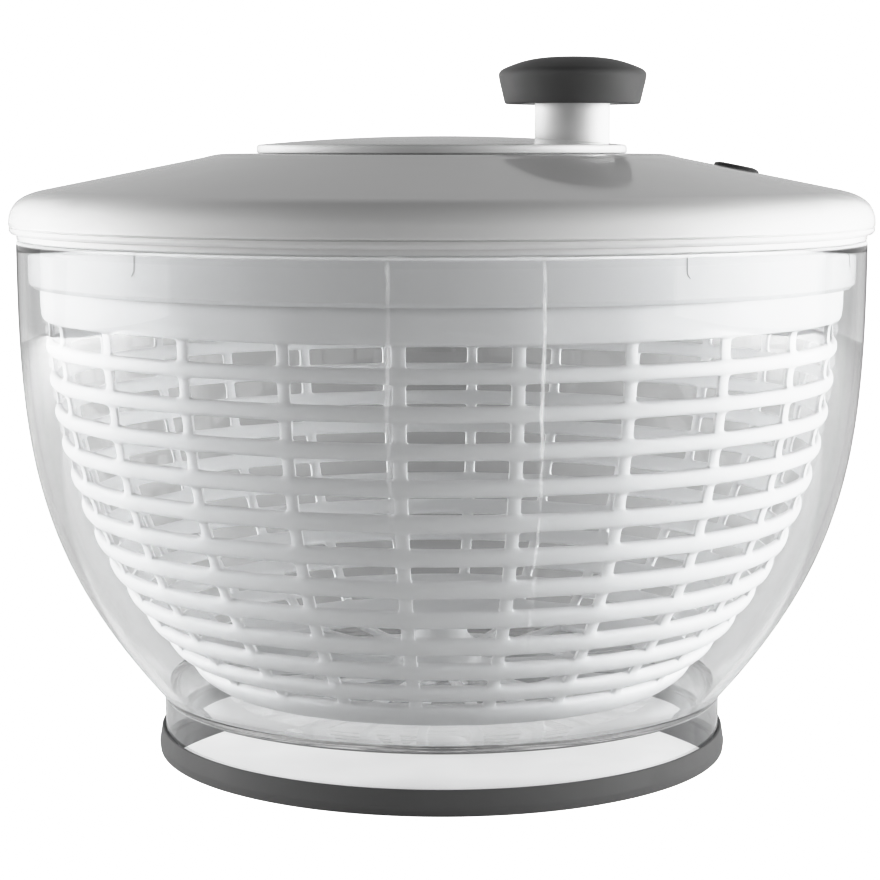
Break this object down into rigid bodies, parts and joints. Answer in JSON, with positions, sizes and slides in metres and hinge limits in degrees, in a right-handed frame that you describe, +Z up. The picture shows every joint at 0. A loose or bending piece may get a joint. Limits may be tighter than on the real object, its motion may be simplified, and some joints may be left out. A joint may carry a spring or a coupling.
{
  "type": "salad spinner",
  "caption": "Round salad spinner: clear bowl on a non-slip ring, slotted basket on a pivot, domed lid with a geared crank disc, turning knob and push brake.",
  "frame": {"origin": "centre of the non-slip ring's underside, on the surface that it stands on", "axes": "+Z up along the spin axis; the crank knob and the brake button are towards +X"},
  "size_m": [0.26, 0.26, 0.2111],
  "materials": {
    "clear_shell": "clear injection-moulded styrene plastic, polished",
    "ring": "matt soft non-slip ring",
    "basket": "satin white polypropylene",
    "lid_white": "polished white plastic",
    "inner_white": "plain white moulding",
    "gear_acetal": "natural acetal",
    "grip": "dark satin soft-touch",
    "dark_plastic": "dark satin plastic",
    "pad": "matt rubber",
    "steel": "bright stainless steel"
  },
  "bodies": {
    "bowl_unit": {"bowl": "clear_shell", "base_ring": "ring", "pivot_pin": "steel"},
    "pivot": {"pivot_cap": "gear_acetal"},
    "basket": {"basket": "basket"},
    "lid": {"lid_cover": "lid_white", "gear_plate": "inner_white", "shaft_bushing": "gear_acetal", "gear_plate_screw_1": "steel", "gear_plate_screw_2": "steel", "gear_plate_screw_3": "steel", "gear_plate_screw_4": "steel", "idler_pin_1": "steel", "idler_pin_2": "steel", "idler_pin_3": "steel"},
    "crank": {"crank_disc": "lid_white", "ring_gear": "gear_acetal", "crank_screw_1": "steel", "crank_screw_2": "steel", "crank_screw_3": "steel"},
    "knob": {"knob_grip": "grip", "knob_core": "dark_plastic", "knob_washer": "steel", "knob_screw": "steel"},
    "idler_1": {"idler_gear_1": "gear_acetal"},
    "idler_2": {"idler_gear_2": "gear_acetal"},
    "idler_3": {"idler_gear_3": "gear_acetal"},
    "driver": {"sun_pinion": "gear_acetal", "driver_plate": "inner_white", "driver_washer": "steel", "driver_screw": "steel"},
    "brake": {"brake_button": "dark_plastic", "brake_clip": "steel", "brake_pad": "pad", "brake_spring": "steel"}
  },
  "joints": [
    {"name": "basket_spin", "type": "hinge", "parent": "bowl_unit", "child": "pivot", "pos_m": [0, 0, 0.033], "axis": [0, 0, 1], "continuous": true},
    {"name": "basket_lift", "type": "slide", "parent": "pivot", "child": "basket", "axis": [0, 0, 1], "range_m": [0, 0.2]},
    {"name": "lid_lift", "type": "slide", "parent": "bowl_unit", "child": "lid", "axis": [0, 0, 1], "range_m": [0, 0.4]},
    {"name": "crank_spin", "type": "hinge", "parent": "lid", "child": "crank", "pos_m": [0, 0, 0.182], "axis": [0, 0, 1], "continuous": true},
    {"name": "knob_spin", "type": "hinge", "parent": "crank", "child": "knob", "pos_m": [0.0395, 0, 0.2], "axis": [0, 0, 1], "continuous": true},
    {"name": "idler_1_spin", "type": "hinge", "parent": "lid", "child": "idler_1", "pos_m": [0.027, 0, 0.1758], "axis": [0, 0, 1], "continuous": true},
    {"name": "idler_2_spin", "type": "hinge", "parent": "lid", "child": "idler_2", "pos_m": [-0.0135, 0.02338, 0.1758], "axis": [0, 0, 1], "continuous": true},
    {"name": "idler_3_spin", "type": "hinge", "parent": "lid", "child": "idler_3", "pos_m": [-0.0135, -0.02338, 0.1758], "axis": [0, 0, 1], "continuous": true},
    {"name": "driver_spin", "type": "hinge", "parent": "lid", "child": "driver", "pos_m": [0, 0, 0.165], "axis": [0, 0, 1], "continuous": true},
    {"name": "brake_press", "type": "slide", "parent": "lid", "child": "brake", "axis": [0, 0, -1], "range_m": [0, 0.004], "stiffness_N_per_m": 1500, "springref_m": -0.001, "deforming": ["brake_spring"]}
  ],
  "couplings": [
    {"joint": "crank_spin", "follows": "basket_spin", "ratio": -0.33333},
    {"joint": "driver_spin", "follows": "basket_spin", "ratio": 1},
    {"joint": "idler_1_spin", "follows": "basket_spin", "ratio": -1},
    {"joint": "idler_2_spin", "follows": "basket_spin", "ratio": -1},
    {"joint": "idler_3_spin", "follows": "basket_spin", "ratio": -1},
    {"joint": "basket_lift", "follows": "lid_lift", "ratio": 0.5}
  ]
}
